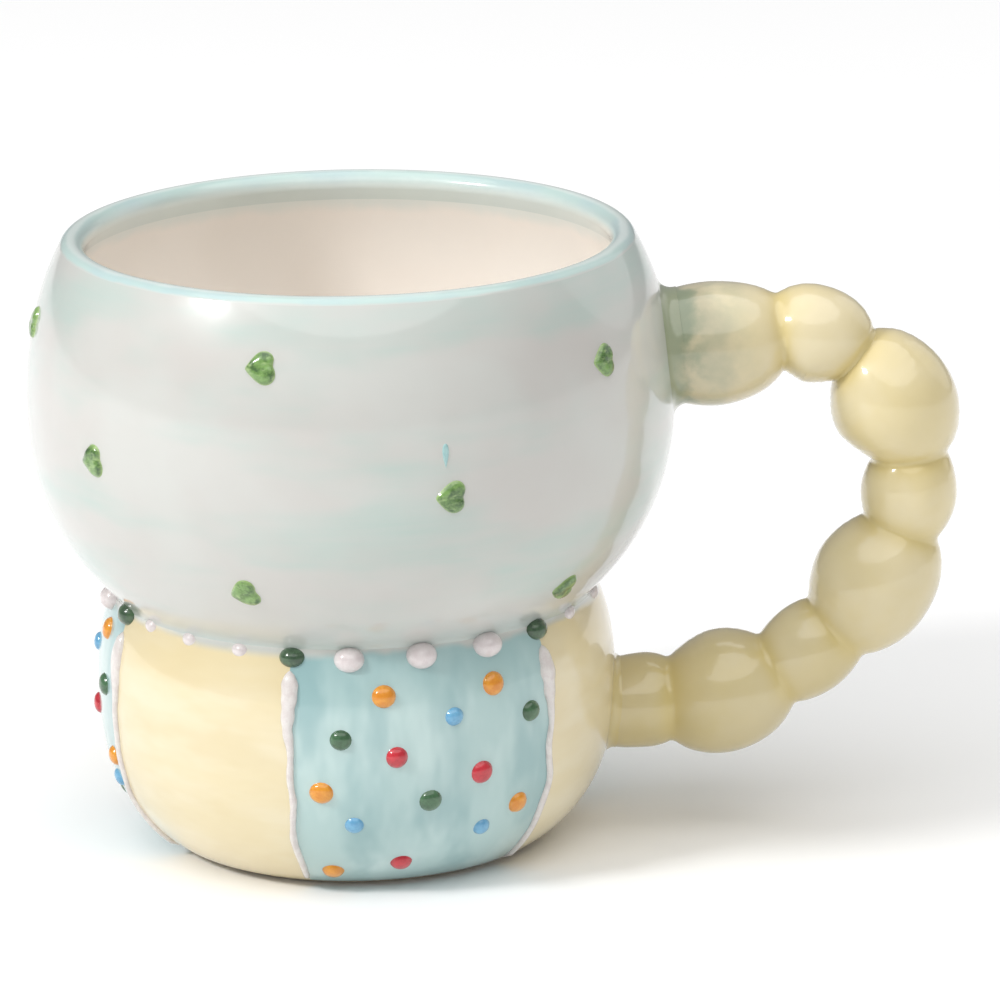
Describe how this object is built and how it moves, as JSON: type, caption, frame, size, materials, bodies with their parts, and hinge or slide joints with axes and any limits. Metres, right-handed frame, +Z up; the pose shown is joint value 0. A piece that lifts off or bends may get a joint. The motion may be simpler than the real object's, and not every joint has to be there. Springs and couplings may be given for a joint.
{
  "type": "two-tier mug",
  "caption": "Ceramic drinking mug with a round bowl on a smaller painted base, raised slip dots, pearls and hearts, and a loop handle of fused bubbles.",
  "frame": {"origin": "centre of the foot ring's resting plane, on the mug's axis", "axes": "+Z up along the mug's axis, +X from the axis towards the handle, -Y is the side with the aqua front panel"},
  "size_m": [0.1437, 0.1, 0.0961],
  "materials": {
    "bare_clay": "smooth bare fired clay, matt, seen only on the foot",
    "handle_glaze": "pale butter yellow gloss glaze, pooled darker in the creases",
    "joint_glaze": "gloss glaze where aqua and yellow run together",
    "cream_liner": "warm cream gloss glaze",
    "aqua_lip": "brushed aqua gloss band, thin at its edges",
    "celadon_white": "off-white gloss glaze with watery pale green brush washes",
    "yellow_panel": "pale yellow gloss, faint brush variation",
    "aqua_panel": "aqua gloss wash with brush streaks",
    "white_slip": "raised white slip under gloss glaze",
    "green_slip": "raised dark green slip under gloss glaze",
    "orange_slip": "raised orange slip under gloss glaze",
    "blue_slip": "raised sky blue slip under gloss glaze",
    "red_slip": "raised red slip under gloss glaze",
    "heart_green": "raised mottled leaf green slip under gloss glaze",
    "grey_drop": "thin grey-blue drop of colour under gloss glaze"
  },
  "bodies": {
    "root": {"vessel": "bare_clay", "handle": "handle_glaze", "upper_luting": "joint_glaze", "lower_luting": "handle_glaze", "liner_glaze": "cream_liner", "lip_band": "aqua_lip", "bowl_glaze": "celadon_white", "front_yellow_panel": "yellow_panel", "handle_yellow_panel": "yellow_panel", "rear_yellow_panel": "yellow_panel", "front_aqua_panel": "aqua_panel", "rear_aqua_panel": "aqua_panel", "left_aqua_panel": "aqua_panel", "seam_1": "white_slip", "seam_2": "white_slip", "seam_3": "white_slip", "seam_4": "white_slip", "seam_5": "white_slip", "seam_6": "white_slip", "white_pearls": "white_slip", "green_pearls": "green_slip", "front_orange_dots": "orange_slip", "front_blue_dots": "blue_slip", "front_green_dots": "green_slip", "front_red_dots": "red_slip", "rear_orange_dots": "orange_slip", "rear_blue_dots": "blue_slip", "rear_green_dots": "green_slip", "rear_red_dots": "red_slip", "left_orange_dots": "orange_slip", "left_blue_dots": "blue_slip", "left_green_dots": "green_slip", "left_red_dots": "red_slip", "heart_01": "heart_green", "heart_02": "heart_green", "heart_03": "heart_green", "heart_04": "heart_green", "heart_05": "heart_green", "heart_06": "heart_green", "heart_07": "heart_green", "heart_08": "heart_green", "heart_09": "heart_green", "heart_10": "heart_green", "heart_11": "heart_green", "heart_12": "heart_green", "heart_13": "heart_green", "heart_14": "heart_green", "heart_15": "heart_green", "glaze_drop": "grey_drop"}
  },
  "joints": []
}
